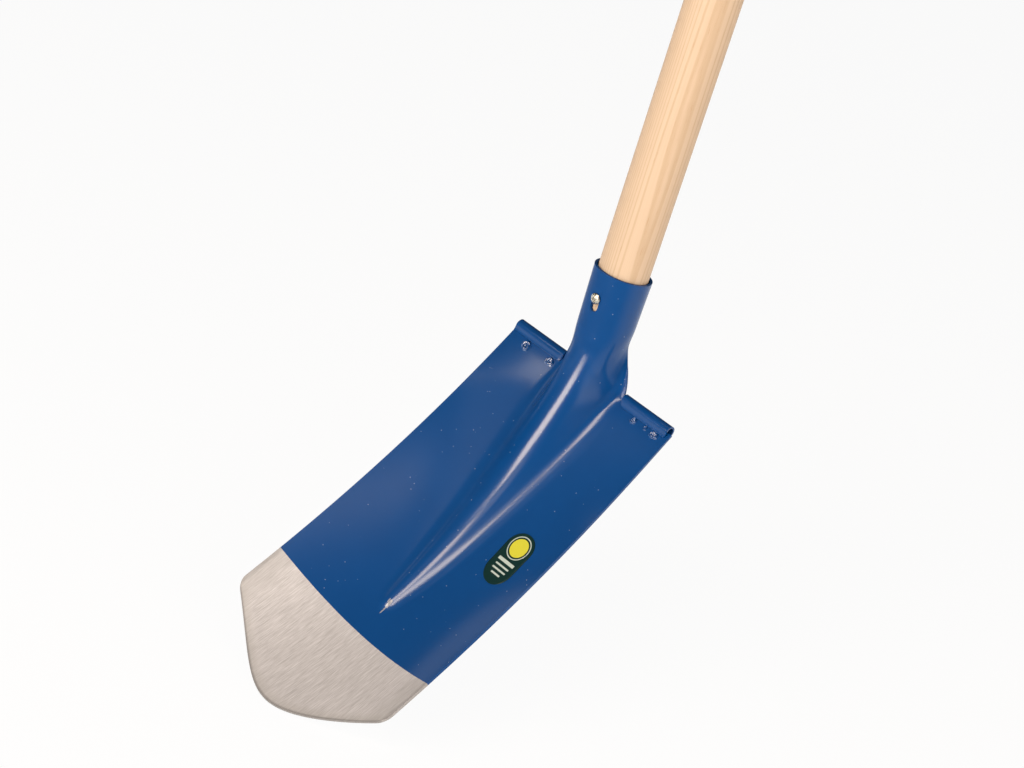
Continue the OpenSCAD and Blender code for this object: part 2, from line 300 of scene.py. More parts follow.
def on_blade(x, v, n):
    """Point x across, v below the shoulders and n out of the front, in the row frame."""
    y = SHOULDER_Y - v * np.sin(LIFT) - n * np.cos(LIFT)
    z = SHOULDER_Z - v * np.cos(LIFT) + n * np.sin(LIFT)
    return np.stack(np.broadcast_arrays(x, y, z), -1)


def tip_v(x):
    """Distance to the cutting edge: a hyperbola, less a circle's fall in the rounded corner."""
    fall = np.hypot(x, TIP_ROUND) - TIP_ROUND
    past = np.clip(x - TIP_W / 2 + CORNER_R, 0, CORNER_R)
    corner = CORNER_R - np.sqrt(CORNER_R ** 2 - past ** 2)
    return BLADE_L - TIP_DROP * fall / TIP_FALL - corner


print("blade", round(BLADE_L / MM), "mm long,", round(2 * half_width(BLADE_L) / MM), "mm wide at its foot")

# %% [markdown]
# ## The pressed ridge
# A ridge stiffens the blade. It is highest at the shoulders, where it goes over into the neck, and runs
# out before the ground edge. Across it, a row is a crest arc, a straight flank and a fillet arc, then the
# wing. Both arcs turn through the same slope, so the row has no corner. Near the shoulders the fillet is
# tighter, and below them its foot is drawn out to a soft tail.

# %% Ridge
RIDGE_H, RIDGE_W, RIDGE_END_W, RIDGE_L = 36.5 * MM, 66 * MM, 13 * MM, 236 * MM
RIDGE_LEAST, EASE_SHARE = 0.0005, 0.03
LONG_SHARE, LONG_POWER, STEEP_POWER, NARROW_POWER = 0.26, 0.4, 5.05, 0.57
CREST_SHARE, CREST_R_SHARE, CREST_R_LOSS, TIGHT = 0.55, 0.55, 0.24, 0.3
TAIL, TAIL_START = 10 * MM, 28 * MM


def smooth(t):
    """Smooth step: 3 t squared less 2 t cubed."""
    return t * t * (3 - 2 * t)


def ridge_rise(v):
    """Height of the ridge: the sum of a long gentle fall and a short steep one, eased out at its end."""
    rest = 1 - np.clip(v / RIDGE_L, 0, 1)
    ease = np.sqrt(smooth(np.clip(rest / EASE_SHARE, 0, 1)))
    fall = LONG_SHARE * rest ** LONG_POWER + (1 - LONG_SHARE) * rest ** STEEP_POWER
    return RIDGE_H * np.maximum(ease * fall, RIDGE_LEAST)


def section(v, share, wing):
    """Half a row as x and height: a crest arc, a flank, a fillet arc drawn out to a tail, and the wing."""
    along = np.clip(v / RIDGE_L, 0, 1)
    narrow = np.maximum(np.cos(np.pi / 2 * along), 0) ** NARROW_POWER
    half = (RIDGE_END_W + (RIDGE_W - RIDGE_END_W) * narrow) / 2
    rise = ridge_rise(v)
    arcs = half / np.sin(2 * np.arctan2(rise, half))
    crest = arcs * (CREST_R_SHARE - CREST_R_LOSS * along)
    fillet = (arcs - crest) * (1 - TIGHT * (1 - along) ** 3)
    both = crest + fillet
    flank = np.sqrt(np.maximum(half ** 2 + rise ** 2 - 2 * rise * both, 0))
    slope = np.arctan2(both, flank) - np.arctan2(both - rise, half)

    on_crest = share <= CREST_SHARE
    way = (1 - share) / (1 - CREST_SHARE) * (fillet * slope + flank)
    turn = np.where(on_crest, slope * share / CREST_SHARE, np.minimum(way / fillet, slope))
    climb = np.maximum(way - fillet * slope, 0)
    tail = TAIL * (1 - along) ** 2 * (1 - np.exp(-(v / TAIL_START) ** 2))
    drawn = half + tail * (1 - turn / slope) ** 3
    foot_x = drawn - fillet * np.sin(turn) - climb * np.cos(slope)
    foot_height = fillet * (1 - np.cos(turn)) + climb * np.sin(slope)
    x = np.where(on_crest, crest * np.sin(turn), foot_x)
    height = np.where(on_crest, rise - crest * (1 - np.cos(turn)), foot_height)
    return x + (half_width(v) - half - tail) * wing, height


print("ridge", round(RIDGE_L / MM), "mm long and", round(RIDGE_H / MM, 1), "mm high at the shoulders")

# %% [markdown]
# ## Neck and socket
# Above the shoulders the ridge closes into a tube for the handle. In the socket a row is a circle with a
# gap at the back, where the rolled sheet meets itself. In the neck each row is a blend of that circle and
# the ridge, carried along a bent centre line. Rows beside the screw's slot bend to its round ends, so the
# slot needs no cutting.

# %% Neck and socket
MOUTH_R, NECK_R, STRAIGHT_L, SEAM_W = 22.8 * MM, 21.95 * MM, 43 * MM, 3 * MM
SCREW_DEPTH, SLOT_W, SLOT_L = 21.8 * MM, 6.8 * MM, 7.2 * MM
MOUTH_CUT, MOUTH_SLANT = 0.4 * MM, 2 * MM
PULL_SHARE, BLEND_POWER = 0.54, 0.83
TUBE_ANGLE = np.pi - np.arcsin(SEAM_W / 2 / NECK_R)
SLOT_SHARE = np.arcsin(SLOT_W / 2 / NECK_R) / TUBE_ANGLE


def tube_r(depth):
    """Outer radius of the socket, which narrows evenly down from its mouth."""
    return MOUTH_R + (NECK_R - MOUTH_R) * depth / STRAIGHT_L


def socket_row(depth, share, bulge):
    """Rows of the socket: circles, moved along the tube to fit the slot's ends and the slanted mouth."""
    r = tube_r(depth)
    x, y = r * np.sin(TUBE_ANGLE * share), -r * np.cos(TUBE_ANGLE * share)
    end = np.sqrt(np.maximum((SLOT_W / 2) ** 2 - x ** 2, 0)) * (share <= SLOT_SHARE)
    slant = (MOUTH_CUT + MOUTH_SLANT * (1 + y / r)) * np.maximum(1 - depth / SCREW_DEPTH, 0)
    return np.stack(np.broadcast_arrays(x, y, MOUTH_Z - depth - bulge * end - slant), -1)


def neck_row(t, share):
    """Rows of the neck: a blend of circle and blade section, carried along a quadratic curve."""
    lead = RIDGE_H - NECK_R
    top = np.array([0, MOUTH_Z - STRAIGHT_L])
    foot = np.array([lead * np.cos(LIFT) - SHOULDER_Y, SHOULDER_Z + lead * np.sin(LIFT)])
    pull = top - [0, PULL_SHARE * np.linalg.norm(foot - top)]
    top, pull, foot = (point[:, None, None] for point in (top, pull, foot))
    centre = (1 - t) ** 2 * top + 2 * t * (1 - t) * pull + t ** 2 * foot
    blend, turn = smooth(t) ** BLEND_POWER, LIFT * smooth(t)
    x, height = section(np.zeros(1), share, 0)
    x = (1 - blend) * NECK_R * np.sin(TUBE_ANGLE * share) + blend * x
    m = (1 - blend) * NECK_R * np.cos(TUBE_ANGLE * share) + blend * (height - lead)
    return np.stack([x, -centre[0] - m * np.cos(turn), centre[1] + m * np.sin(turn)], -1)


print("socket", round(2 * MOUTH_R / MM, 1), "mm wide at its mouth, slot", round(SLOT_W / MM, 1), "mm wide")

# %% [markdown]
# ## Rows and columns
# The front of the head is one grid. Its points lie closer where the form turns fast: beside the slot, on
# the crest, near the corners and at the cutting edge. Only the right half is worked out, and the left
# one is its mirror image. The fold between neck and wings is pressed with a radius, so the rows there are
# drawn towards their neighbours.

# %% Places of rows and columns
SLOT_COLUMNS, CREST_COLUMNS, FILLET_COLUMNS, WING_COLUMNS, CORNER_COLUMNS = 6, 26, 20, 34, 8
ROWS_ABOVE_SLOT, SLOT_ROWS, ROWS_BELOW_SLOT, NECK_ROWS, BLADE_ROWS, TIP_ROWS = 12, 6, 6, 36, 112, 16
TIP_SHARE, NECK_L = 0.95, 55 * MM


def steps(low, high, count, power=1.0):
    """Count steps from low to high, without low itself; a power above 1 packs them near low."""
    return low + (high - low) * (np.arange(1, count + 1) / count) ** power


def column_places():
    """Columns of the ridge, and every column's share of the ridge and of the wing, from the middle out."""
    ridge = np.concatenate([[0], steps(0, SLOT_SHARE, SLOT_COLUMNS),
                            steps(SLOT_SHARE, CREST_SHARE, CREST_COLUMNS),
                            steps(CREST_SHARE, 1, FILLET_COLUMNS)])
    wing_end = 1 - CORNER_R / (TIP_W / 2 - RIDGE_END_W / 2)
    corner = 1 - (1 - wing_end) * (1 - np.sin(np.pi / 2 * steps(0, 1, CORNER_COLUMNS)))
    wing = np.concatenate([steps(0, wing_end, WING_COLUMNS, 1.2), corner])
    share = np.concatenate([ridge, np.ones(len(wing))])
    return len(ridge) - 1, share, np.concatenate([np.zeros(len(ridge)), wing])


def socket_places():
    """Depth of each row of the socket, and how far it bends to the slot's upper or lower end."""
    upper, lower = SCREW_DEPTH, SCREW_DEPTH + SLOT_L
    depth = np.concatenate([[0], steps(0, upper, ROWS_ABOVE_SLOT), steps(upper, lower, SLOT_ROWS),
                            steps(lower, STRAIGHT_L, ROWS_BELOW_SLOT)])[:-1]
    bulge = np.where(depth <= upper, -depth / upper, 1 - 2 * (upper + SLOT_L - depth) / SLOT_L)
    return depth, np.where(depth > lower, (STRAIGHT_L - depth) / (STRAIGHT_L - lower), bulge)


print("half a row has", len(column_places()[1]), "points, the socket", len(socket_places()[0]), "rows")

# %% Grid of the head
def eased(points, row, share):
    """Rows near the fold at the shoulders, drawn towards the mean of their neighbours to round it."""
    near = np.exp(-((np.arange(len(points)) - row) / 3.5) ** 2)[:, None, None] * (1 - share ** 8)[:, None]
    for _ in range(12):
        mean = (np.roll(points, 1, 0) + np.roll(points, -1, 0)) / 2
        points = points + near * (mean - points)
    return points


def both_sides(half, sign):
    """The left half, mirrored by the signs of its coordinates, beside the right one."""
    return np.concatenate([half[:, :0:-1] * sign, half], 1)


def head_grid():
    """Front points, their map of x and v, the way to the cutting edge, and the rows above the blade."""
    _, share, wing = column_places()
    depth, bulge = socket_places()
    bend = np.linspace(0, 1, NECK_ROWS, endpoint=False)[:, None]
    t = np.concatenate([[0], steps(0, TIP_SHARE, BLADE_ROWS), steps(TIP_SHARE, 1, TIP_ROWS)])[:, None]
    edge_v = tip_v(section(np.full(len(share), BLADE_L), share, wing)[0])
    v = t * edge_v
    x, height = section(v, share, wing)
    blade_part = on_blade(x, v, dished(x, v) + height)
    socket_part = socket_row(depth[:, None], share, bulge[:, None])
    half = np.concatenate([socket_part, neck_row(bend, share), blade_part])
    above = len(depth) + NECK_ROWS
    half = eased(half, above, share)

    around = np.broadcast_to(NECK_R * TUBE_ANGLE * share, (above, len(share)))
    down = np.concatenate([depth - STRAIGHT_L - NECK_L, -NECK_L * (1 - bend[:, 0])])[:, None]
    down = np.broadcast_to(down, around.shape)
    chart = np.stack([np.concatenate([around, x]), np.concatenate([down, v])], -1)
    to_edge = np.concatenate([np.ones(around.shape), edge_v - v])
    return both_sides(half, [-1, 1, 1]), both_sides(chart, [-1, 1]), both_sides(to_edge, 1), above


front, chart, to_edge, shoulder_row = head_grid()
print("front of the head:", front.shape[0], "rows of", front.shape[1], "points")

# %% [markdown]
# ## The sheet itself
# The back is the front moved inwards by the sheet's thickness along its normals, and walls close the
# cells that have no neighbour: the mouth, the seam, the slot and the outer edge. Along the cutting edge
# the front is ground down to a bevel. A Solidify modifier would give one thickness only, so the back is
# worked out here.

# %% Cells and normals
def head_cells(rows, columns):
    """Each row's last column, and the cells that are sheet: no wings above the shoulders, and no slot."""
    edge = columns // 2
    reach = np.where(np.arange(rows) < shoulder_row, column_places()[0], edge)
    k = np.abs(np.arange(-edge, edge) + 0.5)
    row = np.arange(rows - 1)[:, None]
    in_slot = (row >= ROWS_ABOVE_SLOT) & (row < ROWS_ABOVE_SLOT + SLOT_ROWS) & (k < SLOT_COLUMNS)
    return reach, (k < reach[:-1, None]) & ~in_slot


def outward(front, reach):
    """Unit normals: the cross product of the differences across and down the grid."""
    rows, columns = front.shape[:2]
    i, k = np.mgrid[:rows, :columns]
    middle = columns // 2
    low, high = middle - reach[:, None], middle + reach[:, None]
    kept = np.clip(k, low, high)
    across = front[i, np.minimum(kept + 1, high)] - front[i, np.maximum(kept - 1, low)]
    start = np.where((i == shoulder_row) & (np.abs(k - middle) > reach[0]), i, np.maximum(i - 1, 0))
    down = front[np.minimum(i + 1, rows - 1), kept] - front[start, kept]
    normal = np.cross(across, down)
    return -normal / np.linalg.norm(normal, axis=-1, keepdims=True)


reach, cells = head_cells(*front.shape[:2])
normals = outward(front, reach)
print("sheet in", cells.sum(), "of", cells.size, "cells")

# %% Sheet of the head
GROUND_W, GROUND_D = 9 * MM, 0.25 * MM


def sheet_faces(cells, columns, size):
    """Front and back of every cell, and a wall on each side where the next cell is missing."""
    around = np.pad(cells, 1)
    i, k = np.nonzero(cells)
    a, b = i * columns + k, i * columns + k + 1
    d, c = a + columns, b + columns
    faces = [np.stack([a, d, c, b], -1), size + np.stack([b, c, d, a], -1)]
    for p, q, di, dk in ((a, b, -1, 0), (b, c, 0, 1), (c, d, 1, 0), (d, a, 0, -1)):
        open_side = ~around[i + 1 + di, k + 1 + dk]
        faces.append(np.stack([p, q, size + q, size + p], -1)[open_side])
    return np.concatenate(faces)


ground = GROUND_D * smooth(np.clip(1 - to_edge / GROUND_W, 0, 1))
head_points = np.stack([front - ground[..., None] * normals, front - SHEET_T * normals])
head_faces = sheet_faces(cells, front.shape[1], front[..., 0].size)
print("head:", head_points[..., 0].size, "points,", len(head_faces), "faces")

# %% [markdown]
# ## Blue paint
# The head is sprayed with a semi-gloss blue paint. Its colour varies a little, and a few pale specks of
# dust lie in it. At the ridge's end a glint is painted into the colour as pale grey marks. The gloss is
# a clear coat over the colour, because a coat's weight may vary: it is duller on the socket and on the
# ridge's left flank.

# %% Blue paint
BLUE_DEEP, BLUE_LIGHT = (0.0009, 0.048, 0.198, 1), (0.0018, 0.0565, 0.229, 1)
# The pale grey and the three ellipses at the ridge's end are a painted glint on the ridge's nose.
SPECK, PAINTED_GLINT_GREY = (0.55, 0.66, 0.76, 1), (0.32, 0.32, 0.34, 1)
PAINTED_GLINTS_MM = ((2.8, 230.2, 1.2, 3.8), (2.7, 236.5, 0.6, 3.0), (1.0, 228.5, 0.5, 2.2))


def blue_paint(finish):
    """Blue between a deep and a lighter tone, by a broad noise."""
    return finish.mix(finish.noise(finish.place(), 22, 3), BLUE_DEEP, BLUE_LIGHT)


def dust_specks(finish):
    """Small discs at the centres of some cells of a cell pattern."""
    far, chance = [finish.add("ShaderNodeTexVoronoi", {}, {"Vector": finish.place(), "Scale": 300.0}, output)
                   for output in ("Distance", "Color")]
    return far.rise(0.13, 0.08) * chance.rise(0.77, 0.80)


def painted_glint(finish, x, v):
    """A painted glint at the ridge's end: the union of three ellipses with ragged rims, given by their
    centres and half widths in mm.
    """
    ragged = 2.4 * (finish.noise(finish.place(), 420, 2) - 0.5)
    whole = 1
    for centre_x, centre_v, half_x, half_v in PAINTED_GLINTS_MM:
        across, along = (x - centre_x * MM) / (half_x * MM), (v - centre_v * MM) / (half_v * MM)
        whole = (1 - (across ** 2.0 + along ** 2.0 + ragged).rise(1.3, 0.7)) * whole
    return 1 - whole


def dulled(x, v):
    """Where the coat is dull: the socket, most of all at its front, and the ridge's left flank."""
    front = 1 - 0.55 * abs(x - 4 * MM).rise(14 * MM, 24 * MM) * abs(x).rise(52 * MM, 44 * MM)
    flank = x.rise(0.0, -5 * MM) * x.rise(-18 * MM, -12 * MM) * v.rise(140 * MM, 70 * MM)
    return 1 - (1 - v.rise(20 * MM, -18 * MM) * front) * (1 - flank)


print("paint with", len(PAINTED_GLINTS_MM), "painted_glints")

# %% [markdown]
# ## Ground steel
# The cutting edge is ground bare. Its fine scratches run down the blade, so their noise is stretched that
# way on the sheet's own map. The steel is greyer at the sides and along the edge, and dark on the rim.
# One material serves paint and steel: a mask from the map says where the paint ends, because that line
# follows the blade and not the picture.

# %% Ground steel
STEEL_DARK, STEEL_LIGHT = (0.388, 0.390, 0.412, 1), (0.714, 0.719, 0.760, 1)
STEEL_NEAR_EDGE, STEEL_SIDE, STEEL_RIM = (0.40, 0.40, 0.40, 1), (0.40, 0.405, 0.415, 1), (0.17, 0.17, 0.175, 1)
GRIND_TURN = (0, 0, np.radians(6))
PAINT_END, PAINT_SAG, PAINT_HALF_W = 254 * MM, 7 * MM, 87 * MM
PEEL_DEPTH, SCRATCH_DEPTH = 0.008 * MM, 0.02 * MM


def ground_steel(finish, scratch, x, v):
    """Steel toned by its scratches, then by the distances to the cutting edge and to the middle."""
    broad = finish.noise(finish.place((1, 0.12, 1), GRIND_TURN, "UV"), 240, 3)
    steel = finish.mix(0.85 * scratch.rise(0.22, 0.78) + 0.15 * broad, STEEL_DARK, STEEL_LIGHT)
    fall = ((x * x + TIP_ROUND ** 2).root() - TIP_ROUND) / TIP_FALL
    to_edge = BLADE_L - TIP_DROP * fall - v
    # The steel turns greyer over the last few millimetres before the cutting edge.
    steel = finish.mix(0.45 * to_edge.rise(10 * MM, 2 * MM), steel, STEEL_NEAR_EDGE)
    steel = finish.mix(0.40 * abs(x).rise(66 * MM, 80 * MM), steel, STEEL_SIDE)
    rim = to_edge.rise(2.5 * MM, 0.5 * MM).larger(0.6 * abs(x).rise(83 * MM, 86.5 * MM))
    return finish.mix(0.6 * rim, steel, STEEL_RIM)


def sheet_finish():
    """Paint above the ground edge and steel below it, told apart by the sheet's map of x and v."""
    finish = Finish("paint_and_ground_steel", specular_ior_level=0.05, coat_ior=1.54, coat_roughness=0.17)
    x, v, _ = finish.parts("UV")
    line = PAINT_END + PAINT_SAG * (1 - (x / PAINT_HALF_W) ** 2.0)
    ragged = 0.3 * MM * (finish.noise(finish.place(), 900) - 0.5)
    bare = (v - line + ragged).rise(-0.15 * MM, 0.15 * MM)
    blue = finish.mix(dust_specks(finish) * 0.45, blue_paint(finish), SPECK)
    # Painted glint: pale grey marks in the paint's colour at the ridge's end.
    blue = finish.mix(0.8 * painted_glint(finish, x, v), blue, PAINTED_GLINT_GREY)
    scratch = finish.noise(finish.place((1, 0.045, 1), GRIND_TURN, "UV"), 1500, 3, 0.7)
    steel = ground_steel(finish, scratch, x, v)
    peel = finish.noise(finish.place(), 650, 2)
    finish.bump(peel * PEEL_DEPTH * (1 - bare) + scratch * SCRATCH_DEPTH * bare)
    return finish.set(base_color=finish.mix(bare, blue, steel), metallic=0.3 * bare,
                      roughness=0.4 + 0.16 * scratch, coat_weight=(1 - 0.85 * dulled(x, v)) * (1 - bare))


add_piece("head", head_points, head_faces, "blade", sheet_finish(),
          uv=np.stack([chart, chart]), bevel=0.5 * MM)

# %% [markdown]
# ## Treads
# A tread is a strip folded over the shoulder: its two legs lie on the sheet and its top is rolled, so a
# boot doesn't stand on a sharp edge. It is a profile carried along the shoulder. The outline runs along
# the outside of the fold and back along its inside, and the ends are closed by the strip's own edge. The
# strip's inner corner is rounded, so the legs get shorter there.

# %% Form of a tread
STRIP_T, ROLL_R, ROLL_RISE, STRIP_CORNER_R = 1.4 * MM, 5 * MM, 1 * MM, 4.6 * MM
LEG_L, LAND_L, LAP = 5.5 * MM, 2.5 * MM, 1.05 * MM


def fold(radius, foot, land):
    """Half a fold as up and out: a curve from the flat foot by way of land, then the roll's circle."""
    centre, foot, land = np.array([ROLL_RISE, 0]), np.array(foot), np.array(land)
    up, out = land - centre
    touch = np.arctan2(out, up) - np.arccos(radius / np.hypot(up, out))
    angle = np.linspace(touch, 0, 22)[:, None]
    arc = centre + radius * np.concatenate([np.cos(angle), np.sin(angle)], 1)
    t = np.linspace(0, 1, 13)[:-1, None]
    leg = (1 - t) ** 3 * foot + 3 * t * (1 - t) * land + t ** 3 * arc[0]
    return np.concatenate([leg, arc])


def whole_fold(half):
    """Both halves of a fold: one from the foot to the roll's top, and its mirror image back down."""
    return np.concatenate([half, half[-2::-1] * [1, -1]])


def tread_points(side, start, end):
    """Profile of the fold at stations along x, outside first and inside after it."""
    outer = fold(ROLL_R, (-LEG_L, LAP + STRIP_T), (LAND_L / 3 - LEG_L, LAP + STRIP_T))
    inner = fold(ROLL_R - STRIP_T, (-LEG_L, LAP), (LAND_L - LEG_L, LAP))
    outline = np.concatenate([whole_fold(outer), whole_fold(inner)[::-1]])
    corner_end = start + STRIP_CORNER_R
    x = np.concatenate([[start], steps(start, corner_end, 9, 1.6), steps(corner_end, end, 12)])[:, None]
    corner = np.clip(1 - (x - start) / STRIP_CORNER_R, 0, 1)
    shorter = STRIP_CORNER_R * (1 - np.sqrt(1 - corner ** 2))
    up = outline[:, 0] + shorter * np.clip(-outline[:, 0] / LEG_L, 0, 1)
    return on_blade(side * x, -up, outline[:, 1] - SHEET_T / 2)


print("roll of the treads", round(2 * ROLL_R / MM), "mm thick, legs", round(LEG_L / MM, 1), "mm long")

# %% Treads
RIGHT_TREAD, LEFT_TREAD = (34 * MM, 82 * MM), (31.5 * MM, 84.2 * MM)


def plain_paint(name, peel_depth, gloss, coat):
    """The same blue paint on a piece without a ground edge, with its peel, roughness and coat."""
    finish = Finish(name, ior=1.5, specular_ior_level=0.56, coat_weight=coat, coat_ior=2.0,
                    coat_roughness=0.1)
    finish.bump(finish.noise(finish.place(), 650, 2) * peel_depth)
    return finish.set(base_color=blue_paint(finish),
                      roughness=gloss + 0.1 * (finish.noise(finish.place(), 300, 3) - 0.5))


def add_tread(name, node, side, ends, finish):
    """The carried profile and its two end faces, turned about for the left side."""
    points = tread_points(side, *ends)
    rows, columns = points.shape[:2]
    j = np.arange(columns // 2 - 1)
    cap = np.stack([j, j + 1, columns - 2 - j, columns - 1 - j], -1)
    faces = np.concatenate([grid_faces(rows, columns, wrap=True), cap, cap[:, ::-1] + (rows - 1) * columns])
    add_piece(name, points, faces[:, ::side], node, finish, bevel=0.3 * MM)


tread_paint = plain_paint("tread_paint", PEEL_DEPTH, 0.2, 0.0)
add_tread("tread.right", "right_tread", 1, RIGHT_TREAD, tread_paint)
add_tread("tread.left", "left_tread", -1, LEFT_TREAD, tread_paint)

# %% [markdown]
# ## Weld beads
# Each tread is held by spots of weld under its front leg. A weld spot is a lumpy ring of metal that
# flowed and froze, and paint runs smooth over it, so it glints. A disc in polar coordinates gets a
# height: a dome with a ring, plus a few waves round and across it that differ from spot to spot.

# %% Form of a bead
BEAD_RINGS, BEAD_SPOKES, BEAD_SINK = 16, 40, 0.25 * MM


def bead_points(x, v, radius, height, seed):
    """Disc of radius and angle, raised by a dome, a ring and waves, with its rim sunk in the sheet."""
    angles = np.arange(BEAD_SPOKES) * 2 * np.pi / BEAD_SPOKES
    r, a = np.meshgrid(np.concatenate([[0.001], steps(0, 1, BEAD_RINGS)]), angles, indexing="ij")
    wave = np.random.default_rng(seed).uniform(0, 2 * np.pi, 6)
    dome = (1 - r ** 2) ** 0.7 * 0.5
    ring = 0.45 * np.exp(-((r - 0.62) / 0.16) ** 2)
    lumps = 0.34 * r * np.sin(2 * a + wave[0]) * np.sin(6 * r + wave[1])
    lumps = lumps + 0.2 * r * np.sin(4 * a + wave[2] + 5 * r)
    rise = height * (dome + (ring + lumps) * (1 - r ** 6)) - BEAD_SINK * r ** 8
    rim = radius * r * (1 + 0.08 * np.sin(2 * a + wave[3]) + 0.06 * np.sin(3 * a + wave[4]))
    return on_blade(x + rim * np.cos(a), v + rim * np.sin(a), rise)


print("a bead has", BEAD_RINGS, "rings of", BEAD_SPOKES, "points")

# %% Weld beads
RIGHT_BEADS_MM = ((52.4, 8.0, 3.3, 2.0, 3), (73.8, 7.8, 3.8, 2.2, 5), (64.4, 7.4, 2.0, 1.0, 8))
LEFT_BEADS_MM = ((-39.3, 9.4, 4.3, 1.9, 13), (-65.5, 9.8, 4.9, 2.1, 21))
DOWN_BLADE = np.array([0, -np.sin(LIFT), -np.cos(LIFT)])


def add_beads(name, node, beads, finish):
    """All spots of one tread as one piece: each a polar grid, closed below by a flat copy of itself.

    A spot is given by its place across and down, its radius and height in mm, and its seed.
    """
    points, faces = [], []
    for *sizes, seed in beads:
        x, v, radius, height = (size * MM for size in sizes)
        top = bead_points(x, v, radius, height, seed)
        under = on_blade(top[..., 0], v + (top - top[0, 0]) @ DOWN_BLADE, -BEAD_SINK)
        rows, columns = top.shape[:2]
        shift = sum(len(p) for p in points)
        grid = grid_faces(rows, columns, wrap=True)
        points += [top.reshape(-1, 3), under.reshape(-1, 3)]
        faces += [grid + shift, grid[:, ::-1] + shift + rows * columns]
    add_piece(name, np.concatenate(points), np.concatenate(faces), node, finish)


weld_paint = plain_paint("weld_paint", 0.03 * MM, 0.12, 1.0)
add_beads("welds.right", "right_tread_welds", RIGHT_BEADS_MM, weld_paint)
add_beads("welds.left", "left_tread_welds", LEFT_BEADS_MM, weld_paint)

# %% [markdown]
# ## Ash handle
# The handle is turned from a plank of ash and sanded. Its form is a profile turned about the axis, as on
# the lathe. It is thinner where it enters the socket, and its butt is rounded for the hand.

# %% Form of the handle
SHAFT_R, SHAFT_L, BUTT_R = 19.75 * MM, 1100 * MM, 9 * MM
FOOT_DEPTH, FOOT_R, FOOT_BEVEL = 78 * MM, 12 * MM, 2 * MM
NECK_GAP, MOUTH_GAP, HANDLE_POLE = 0.3 * MM, 1.1 * MM, 0.1 * MM


def turned_form(profile, count):
    """Profile of radius and height carried round the axis; its two ends stop just short of it."""
    angle = np.arange(count) * 2 * np.pi / count
    r, z = profile[:, :1], profile[:, 1:]
    return np.stack(np.broadcast_arrays(r * np.cos(angle), r * np.sin(angle), z), -1)


def handle_profile():
    """From the foot in the socket, by way of the seat and the shaft, to the rounded butt."""
    foot_z = MOUTH_Z - FOOT_DEPTH
    corners = np.array([[HANDLE_POLE, foot_z], [FOOT_R - FOOT_BEVEL, foot_z], [FOOT_R, foot_z + FOOT_BEVEL],
                        [NECK_R - SHEET_T - NECK_GAP, MOUTH_Z - STRAIGHT_L],
                        [MOUTH_R - SHEET_T - MOUTH_GAP, MOUTH_Z], [SHAFT_R, 0], [SHAFT_R, SHAFT_L - BUTT_R]])
    t = np.linspace(0, 1, 9)[:-1, None]
    sides = [a + (b - a) * t for a, b in zip(corners[:-1], corners[1:])]
    a = np.linspace(0, np.pi / 2, 13)[:, None]
    butt = np.concatenate([SHAFT_R - BUTT_R + BUTT_R * np.cos(a), SHAFT_L - BUTT_R + BUTT_R * np.sin(a)], 1)
    return np.concatenate(sides + [butt, [[HANDLE_POLE, SHAFT_L]]])


handle_form = turned_form(handle_profile(), 96)
print("handle", round(SHAFT_L / MM), "mm long,", round(2 * SHAFT_R / MM, 1), "mm thick")

# %% [markdown]
# ## Ash wood
# The grain is cut from a tree: growth rings about a far-off heart, drawn out along the trunk, with short
# dark pores in the early wood. The rings are waves of the distance from that heart, so they run as
# straight lines along the sides and open into long ovals where the cut lies flat to them.

# %% Ash wood
HEART_X, HEART_Y, HEART_DRIFT, RING_WAVES = -55 * MM, 30 * MM, 12 * MM, 3200.0
ASH_DARK, ASH_LIGHT = (0.482, 0.375, 0.268, 1), (0.625, 0.502, 0.388, 1)
ASH_EARLY, ASH_PORE = (0.405, 0.288, 0.176, 1), (0.42, 0.262, 0.143, 1)


def wood_finish():
    """Rings about a distant heart, drawn out lengthwise, with pores in their early wood."""
    finish = Finish("ash_wood", ior=1.5, specular_ior_level=0.4)
    drift = finish.noise(finish.place((1, 1, 0.06)), 30, 2)
    x, y, _ = finish.parts("Object")
    x, y = x - HEART_X + HEART_DRIFT * (drift - 0.5), y - HEART_Y
    early = ((x * x + y * y).root() * RING_WAVES).sine().rise(0.2, 1.0)
    fine = finish.noise(finish.place((1, 1, 0.012)), 1500, 3, 0.6)
    pores = finish.noise(finish.place((1, 1, 0.035)), 2600, 1).rise(0.62, 0.72) * early
    streak = finish.noise(finish.place((1, 1, 0.008)), 160, 3)
    tone = finish.mix(0.5 * streak + 0.5 * fine, ASH_DARK, ASH_LIGHT)
    tone = finish.mix(0.42 * early, tone, ASH_EARLY)
    tone = finish.mix(0.5 * pores, tone, ASH_PORE)
    finish.bump(fine * (0.03 * MM) - pores * (0.05 * MM))
    return finish.set(base_color=tone, roughness=0.46 + 0.12 * fine)


handle_faces = grid_faces(*handle_form.shape[:2], wrap=True)[:, ::-1]
add_piece("handle", handle_form, handle_faces, "handle", wood_finish())

# %% [markdown]
# ## Screw
# One zinc-plated screw with a cross recess keeps the handle in its socket. Its head is a dome turned about
# the screw's axis. The recess is cut by lowering the points of the dome that lie inside the cross.

# %% Form of the screw
HEAD_R, RIM_H, DOME_H, SHANK_R, SHANK_L, SCREW_POLE = 4.2 * MM, 0.9 * MM, 1.5 * MM, 2 * MM, 25 * MM, 0.01 * MM
ARM_HALF_W, ARM_L, ARM_DEPTH, CROSS_TURN = 0.7 * MM, 2.6 * MM, 1.3 * MM, np.radians(20)
SIDE_SLOPE, END_SLOPE, HEAD_GAP = 0.2 * MM, 0.5 * MM, 0.05 * MM


def arm(across, along):
    """1 inside one arm of the cross, falling to 0 over its sloping sides and ends."""
    sides = np.clip((ARM_HALF_W - np.abs(across)) / SIDE_SLOPE + 0.5, 0, 1)
    return sides * np.clip((ARM_L - np.abs(along)) / END_SLOPE, 0, 1)


